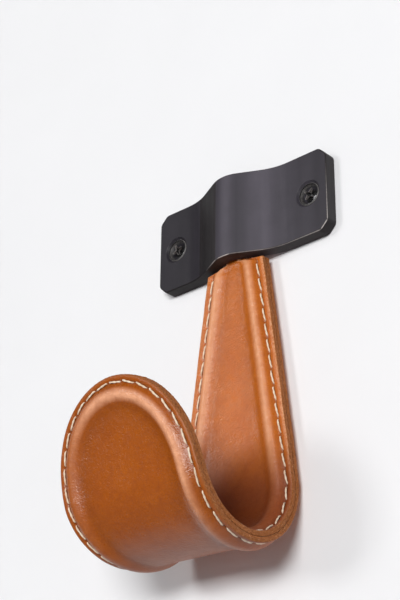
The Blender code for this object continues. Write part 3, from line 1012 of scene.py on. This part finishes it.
def layer_columns(side):
    """The right half's columns from tongue to tip, each a list of (x, s, n, across, along, level)."""
    columns = []
    lengths = [STITCH_FROM * k / 4 for k in range(4)]
    total = STITCHES * STATIONS_PER_STITCH
    lengths += [STITCH_FROM + (SEAM_L - STITCH_FROM) * k / total for k in range(total + 1)]
    for l in lengths:
        p = p_at(l) if l > 0 else 0.0
        if l >= SEAM_L - 1e-9:
            p = 2.0
        s_edge = edge_at(p)[1]
        s_mid = centre_s(p, s_edge)
        rim = edge_inset(p, inset_of(RIM_AT, p))
        wave = EDGE_WAVE * rough(l, side * 11.0, 2.0, 0.12)
        rows = []
        for t in MIDDLE_STEPS:
            x, s = rim[0] * (1 - t), rim[1] + (s_mid - rim[1]) * t
            rows.append((x, s, centre_space(s_edge), MIDDLE_ACROSS, l, 0.0))
        for d in reversed(HIDDEN_ROWS):
            x, s = edge_inset(p, d)
            space = lerp_table(INNER_SPACE, d)
            if d > RIDGE_INSET:
                space = max(space, centre_space(s_edge))
            rows.append((x, s, space, d, l, 0.0))
        for f in WALL_ROWS:
            fray = COARSE_FRAY * rough(l, f * 3 + 7 * side, 0.0, 1.3)
            fray += FINE_FRAY * rough(l, f * 6, side * 5.0, 2.6)
            bulge = EDGE_BULGE * math.sin(math.pi * f)
            x, s = edge_inset(p, -bulge - fray - wave)
            rows.append((x, s, LAYER_GAP + LEATHER_T * f, 0.0, l, f * LEATHER_T))
        for d in FACE_ROWS:
            x, s = edge_inset(p, inset_of(d, p) - wave * max(0.0, 1 - d / 2))
            rows.append((x, s, LAYER_GAP + LEATHER_T + face_height(d, l, s, x, side), d, l, LEATHER_T))
        high = smooth_table(FACE_RISE, RIM_AT)
        for t in CENTRE_ROWS:
            x, s = rim[0] * (1 - t), rim[1] + (s_mid - rim[1]) * t
            mid = centre_rise(s_edge)
            rise = high + (mid - high) * blend_step(0.0, 0.5, t) if mid < high else max(high, mid)
            rise += uneven(x, s, side)
            d = RIM_AT + t * math.hypot(rim[0], rim[1] - s_mid)
            rows.append((x, s, LAYER_GAP + LEATHER_T + rise, d, l, LEATHER_T))
        columns.append(rows)
    first = columns[0]
    tongue = []
    for s, widen in TONGUE_ROWS:
        rows = []
        for x, _, n, across, along, level in first:
            squeezed = TONGUE_HALF_W * min(1.0, x / HALF_W_TOP)
            inner = lerp_table(TONGUE_SPACE, squeezed)
            outer = inner + LEATHER_T
            depth = min(1.0, max(0.0, (n - LAYER_GAP) / LEATHER_T)) if across < 0.3 else float(level > 0)
            flat = inner + (outer - inner) * depth
            wide = squeezed + (x - squeezed) * widen
            rows.append((wide, s, flat + (n - flat) * widen, across, along, level))
        tongue.append(rows)
    return tongue + columns


def rub_and_highlight_at(side, x, s):
    """How pale the ridge is made, as worn leather and as painted highlight: on the strap's front, and on the
    paddle's front but for its left.
    """
    if side < 0:
        return 1.0 - 0.7 * blend_step(*INNER_RUB_HIGHLIGHT_FADES_S, s)
    across = 0.1 + 0.9 * blend_step(*OUTER_RUB_HIGHLIGHT_GROWS_X, x)
    return across * (0.15 + 0.85 * blend_step(*OUTER_RUB_HIGHLIGHT_GROWS_S, s))


def painted_shade_at(side, s):
    """How far painted shade darkens the leather: inside the bend and behind the paddle, less on the rest of
    the back.
    """
    if side < 0:
        return blend_step(*INNER_PAINTED_SHADE_S, s)
    return 0.4 * blend_step(*OUTER_PAINTED_SHADE_S, s)


def make_leather(name, side, mats, slot, node):
    """One layer of the sewn leather, closed all round, with its face, cut edge and hidden side."""
    columns = layer_columns(side)
    bm = bmesh.new()
    layers = [bm.verts.layers.float.new(key) for key in ("across", "along", "level", "painted_shade", "rub_and_highlight")]
    right, left = [], []
    for rows in columns:
        right_column, left_column = [], []
        for x, s, n, across, along, level in rows:
            pair = []
            for sign in (1, -1):
                if sign < 0 and x < 1e-6:
                    pair.append(pair[0])
                    continue
                vert = bm.verts.new(hook_point(sign * x, s, side * n))
                values = (across, sign * along, level, painted_shade_at(side, s), rub_and_highlight_at(side, sign * x, s))
                for layer, value in zip(layers, values):
                    vert[layer] = value
                pair.append(vert)
            right_column.append(pair[0])
            left_column.append(pair[1])
        right.append(right_column)
        left.append(left_column)
    wall_from = len(MIDDLE_STEPS) + len(HIDDEN_ROWS)
    wall_to = wall_from + len(WALL_ROWS)
    for half in (right, left):
        for a, b in zip(half, half[1:]):
            for i in range(len(a) - 1):
                face = bm.faces.new((a[i], a[i + 1], b[i + 1], b[i]))
                face.material_index = 1 if wall_from - 1 <= i < wall_to else 0
    for half in (right[0], left[0]):
        bm.faces.new(half).material_index = 1
    caps = [f for f in bm.faces if len(f.verts) > 4]
    bmesh.ops.triangulate(bm, faces=caps)
    obj = add_object(name, bm, mats)
    stand_for(obj, slot, node)


def face_spot(l, off, side, sign):
    """A point on the leather's face, l along the seam and off to its side, with its outward direction."""
    p = p_at(min(l, SEAM_L))
    x, s = edge_inset(p, stitch_inset(p) + off)
    n = LAYER_GAP + LEATHER_T + smooth_table(FACE_RISE, GROOVE_AT + off)
    base = Vector(hook_point(sign * x, s, side * n))
    up = (Vector(hook_point(sign * x, s, side * (n + 1.0))) - base).normalized()
    return base, up


STITCH_RINGS = 23
STITCH_AROUND = 12
STITCH_ARCH = 0.12
STITCH_DIVE = 0.62
STITCH_DIVE_SLOPE = 14.9
STITCH_TWIST = 2.5 * math.pi
PLY_SHAPE = 0.17


def add_stitch(bm, ends, ups, seed):
    """One stitch: a two-ply twisted thread that comes out of one needle hole and goes into the next."""
    a, b = ends
    direction = (b - a).normalized()
    length = (b - a).length
    rings = []
    for k in range(STITCH_RINGS):
        t = k / (STITCH_RINGS - 1)
        end = abs(2 * t - 1)
        up = ups[0].lerp(ups[1], t)
        lift = 0.55 * THREAD_TUBE_R + STITCH_ARCH * math.sin(math.pi * t) - STITCH_DIVE * end**12
        dive = STITCH_DIVE_SLOPE * math.copysign(end**11, 2 * t - 1)
        slope = STITCH_ARCH * math.pi * math.cos(math.pi * t) - dive
        tangent = (direction * length + up * slope).normalized()
        across = tangent.cross(up).normalized()
        over = across.cross(tangent).normalized()
        radius = THREAD_TUBE_R * (1 + 0.07 * rough(k, seed, 0.0, 0.7)) * (1.1 - 0.3 * end**4)
        centre = a.lerp(b, t) + up * lift
        ring = []
        for i in range(STITCH_AROUND):
            angle = 2 * math.pi * i / STITCH_AROUND
            lobe = 1 + PLY_SHAPE * math.cos(2 * (angle - STITCH_TWIST * t) + seed)
            offset = radius * lobe * (math.cos(angle) * across + 0.85 * math.sin(angle) * over)
            ring.append(bm.verts.new(centre + offset))
        rings.append(ring)
    for one, two in zip(rings, rings[1:]):
        bridge(bm, one, two)
    bm.faces.new(rings[0])
    bm.faces.new(rings[-1])


def make_stitches(name, side, slot, node):
    """The row of slanted stitches down both edges of one face."""
    bm = bmesh.new()
    for sign in (1, -1):
        for k in range(STITCHES):
            l0 = STITCH_FROM + PITCH * k + STITCH_GAP / 2
            l1 = STITCH_FROM + PITCH * (k + 1) - STITCH_GAP / 2
            lean = STITCH_SLANT * (1 + 0.5 * rough(k, sign * 3.0, side * 2.0, 0.9))
            start, up0 = face_spot(l0, lean, side, sign)
            end, up1 = face_spot(l1, -lean, side, sign)
            add_stitch(bm, (start, end), (up0, up1), 1.7 * k + 5 * sign)
    obj = add_object(name, bm, [thread_material(name + "_thread")], 50)
    stand_for(obj, slot, node)


# ---- stage, light and camera

WALL_HALF_W = 2.2
WALL_TOP_Z = 1.8
WALL_BEHIND_Y = 0.0002
FLOOR_Z = -0.42
FLOOR_REACH = 2.6
LIGHTS_AIM = (0.0, -0.02, -0.06)
# name, degrees round to the right, degrees up, metres off, size, watts
LIGHTS = (
    ("main", 20.0, 3.3, 2.5, (1.25, 0.64), 52.0),
    ("key", -26.0, 10.5, 2.5, (0.57, 0.57), 15.5),
    ("overhead", -10.0, 28.0, 2.5, (2.9, 0.97), 6.4),
    ("behind", 186.0, 20.0, 1.6, (1.2, 1.2), 22.0),
)
SKY = (0.97, 0.98, 1.0, 1.0)
SKY_STRENGTH = 0.04
CAMERA_AT = (0.29883, -0.35302, -0.26139)
# degrees round to the left, up and rolled
CAMERA_TURN = (42.325, 26.73, 0.594)
CAMERA_LENS = 90.82
CAMERA_SENSOR = 36.0
CAMERA_NEAR = 0.01


def plane(name, corners, mat):
    """A flat piece of the stage."""
    bm = bmesh.new()
    bm.faces.new([bm.verts.new(c) for c in corners])
    mesh = bpy.data.meshes.new(name)
    bm.to_mesh(mesh)
    bm.free()
    mesh.materials.append(mat)
    obj = bpy.data.objects.new(name, mesh)
    bpy.context.scene.collection.objects.link(obj)
    return obj


def painted(name, tone, one_sided):
    """Matt white paint with a faint roller texture. One-sided paint lets the eye through from behind."""
    g = Graph(name)
    soft = g.noise(0.02, 2.0, 0.5)
    tint = g.mix(g.ramp(soft, [(0.3, 0.0), (0.7, 1.0)]), tone, tuple(0.985 * c for c in tone))
    g.finish(Base_Color=tint, Normal=g.bump(g.noise(0.5, 3.0, 0.5), 0.05, 0.25))
    g.shader.inputs["Roughness"].default_value = 0.85
    g.shader.inputs["Specular IOR Level"].default_value = 0.2
    if one_sided:
        clear = g.add("ShaderNodeBsdfTransparent")
        either = g.add("ShaderNodeMixShader")
        g.link(g.add("ShaderNodeNewGeometry").outputs["Backfacing"], either.inputs[0])
        g.link(g.shader.outputs[0], either.inputs[1])
        g.link(clear.outputs[0], either.inputs[2])
        g.link(either.outputs[0], g.tree.nodes["Material Output"].inputs["Surface"])
    return g.mat


def area_light(name, where, target, size, watts):
    data = bpy.data.lights.new(name, "AREA")
    data.shape = "RECTANGLE"
    data.size, data.size_y = size
    data.energy = watts
    obj = bpy.data.objects.new(name, data)
    obj.location = where
    obj.rotation_euler = (Vector(target) - Vector(where)).to_track_quat("-Z", "Y").to_euler()
    obj.visible_camera = False
    bpy.context.scene.collection.objects.link(obj)


def make_stage():
    """The wall, the floor, the lights and a faint sky."""
    half = WALL_HALF_W
    low = [(-half, WALL_BEHIND_Y, FLOOR_Z), (half, WALL_BEHIND_Y, FLOOR_Z)]
    high = [(half, WALL_BEHIND_Y, WALL_TOP_Z), (-half, WALL_BEHIND_Y, WALL_TOP_Z)]
    wall = plane("wall", low + high, painted("wall_paint", (0.8, 0.8, 0.81), True))
    wall.visible_shadow = False
    near = [(-half, -FLOOR_REACH, FLOOR_Z), (half, -FLOOR_REACH, FLOOR_Z)]
    far = [(half, FLOOR_REACH, FLOOR_Z), (-half, FLOOR_REACH, FLOOR_Z)]
    plane("floor", near + far, painted("floor_paint", (0.24, 0.24, 0.25), False))
    target = Vector(LIGHTS_AIM)
    for name, azimuth, elevation, distance, size, watts in LIGHTS:
        turn, lift = math.radians(azimuth), math.radians(elevation)
        toward = Vector((math.sin(turn) * math.cos(lift), -math.cos(turn) * math.cos(lift), math.sin(lift)))
        area_light(name, target + toward * distance, target, size, watts)
    world = bpy.data.worlds.new("studio")
    bpy.context.scene.world = world
    world.use_nodes = True
    background = world.node_tree.nodes["Background"]
    background.inputs["Color"].default_value = SKY
    background.inputs["Strength"].default_value = SKY_STRENGTH


def make_camera():
    """The camera that matches the photo's view."""
    azimuth, elevation, roll = (math.radians(a) for a in CAMERA_TURN)
    flat = Vector((math.cos(azimuth), math.sin(azimuth), 0.0))
    level = math.cos(elevation)
    ahead = Vector((-math.sin(azimuth) * level, math.cos(azimuth) * level, math.sin(elevation)))
    steep = flat.cross(ahead)
    right = math.cos(roll) * flat + math.sin(roll) * steep
    up = -math.sin(roll) * flat + math.cos(roll) * steep
    data = bpy.data.cameras.new("camera")
    data.sensor_width = CAMERA_SENSOR
    data.lens = CAMERA_LENS
    data.clip_start = CAMERA_NEAR
    camera = bpy.data.objects.new("camera", data)
    turn = Matrix((right, up, -ahead)).transposed().to_4x4()
    camera.matrix_world = Matrix.Translation(CAMERA_AT) @ turn
    bpy.context.scene.collection.objects.link(camera)
    bpy.context.scene.camera = camera


# the two leathers' dyes: light, mid, dark, the ridge's pale tone (worn leather and painted highlight) and raw
# fibre
OUTER_TAN = (
    (0.395, 0.094, 0.006),
    (0.335, 0.074, 0.004),
    (0.23, 0.041, 0.002),
    (0.95, 0.48, 0.28),
    (0.3, 0.1, 0.025),
)
INNER_TAN = (
    (0.57, 0.155, 0.02),
    (0.5, 0.125, 0.014),
    (0.33, 0.066, 0.005),
    (0.75, 0.36, 0.19),
    (0.7, 0.38, 0.2),
)

make_camera()
make_stage()
bpy.context.scene.view_settings.view_transform = "Standard"
make_bracket()
make_screw("screw_left_detail", -HOLE_SPACING / 2, "screw_left", math.radians(20))
make_screw("screw_right_detail", HOLE_SPACING / 2, "screw_right", math.radians(52))
outer_mats = [leather_material("tan_outer", 3.0, *OUTER_TAN), edge_material("cut_edge_outer", 2.0)]
inner_mats = [leather_material("tan_inner", 11.0, *INNER_TAN), edge_material("cut_edge_inner", 7.0)]
make_leather("leather_outer_layer", 1, outer_mats, "outer_leather", "outer_leather")
make_leather("leather_inner_layer", -1, inner_mats, "inner_leather", "inner_leather")
make_stitches("stitches_outer_face", 1, "thread", "stitching_outer")
make_stitches("stitches_inner_face", -1, "thread", "stitching_inner")
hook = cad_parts["hook_frame"]
for slot in hook.material_slots:
    slot.material = bare_steel("frame_drawn_steel")
